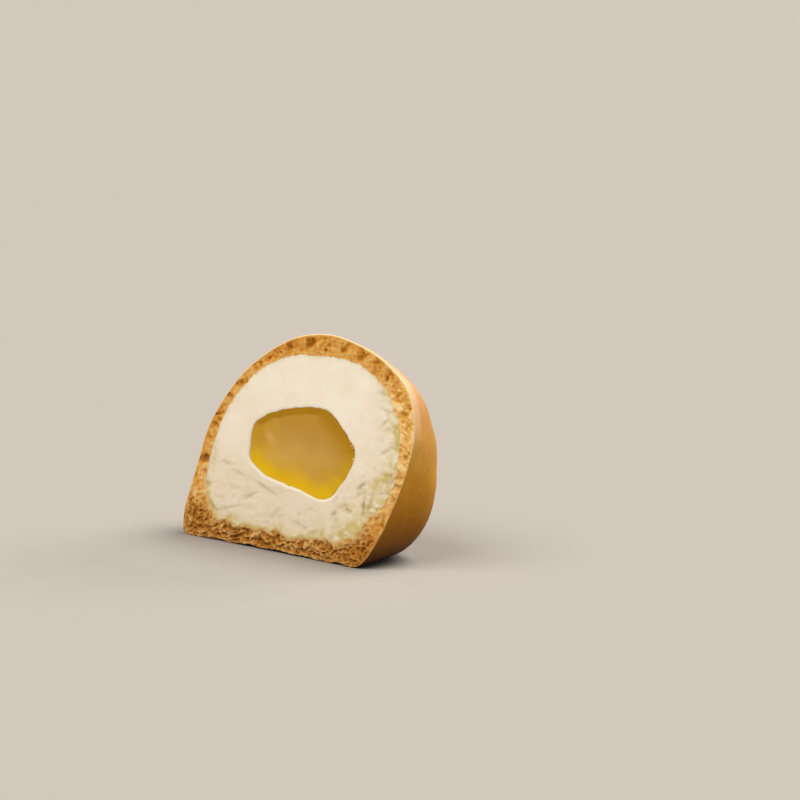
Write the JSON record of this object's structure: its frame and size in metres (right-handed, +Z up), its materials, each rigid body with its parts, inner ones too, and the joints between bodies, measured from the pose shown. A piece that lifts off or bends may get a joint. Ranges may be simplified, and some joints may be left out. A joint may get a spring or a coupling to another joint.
{
  "type": "halved baked bean-paste bun",
  "caption": "Half of a baked domed bun cut face forward, with a golden crust, white bean paste and a candied chestnut at the centre.",
  "frame": {"origin": "centre of the bounding box at the flat base", "axes": "+X to the right across the cut face, +Y from the cut face, which leans back about 8 degrees, into the bun, +Z up from the base"},
  "size_m": [0.049, 0.0276, 0.0452],
  "materials": {
    "baked_crust": "golden brown baked dough with a soft sheen outside and a dry porous crumb on the cut",
    "bean_paste": "matt cream-white bean paste with faint drag marks",
    "candied_chestnut": "glossy translucent amber yellow"
  },
  "bodies": {
    "root": {"crust": "baked_crust", "paste": "bean_paste", "chestnut": "candied_chestnut"}
  },
  "joints": []
}
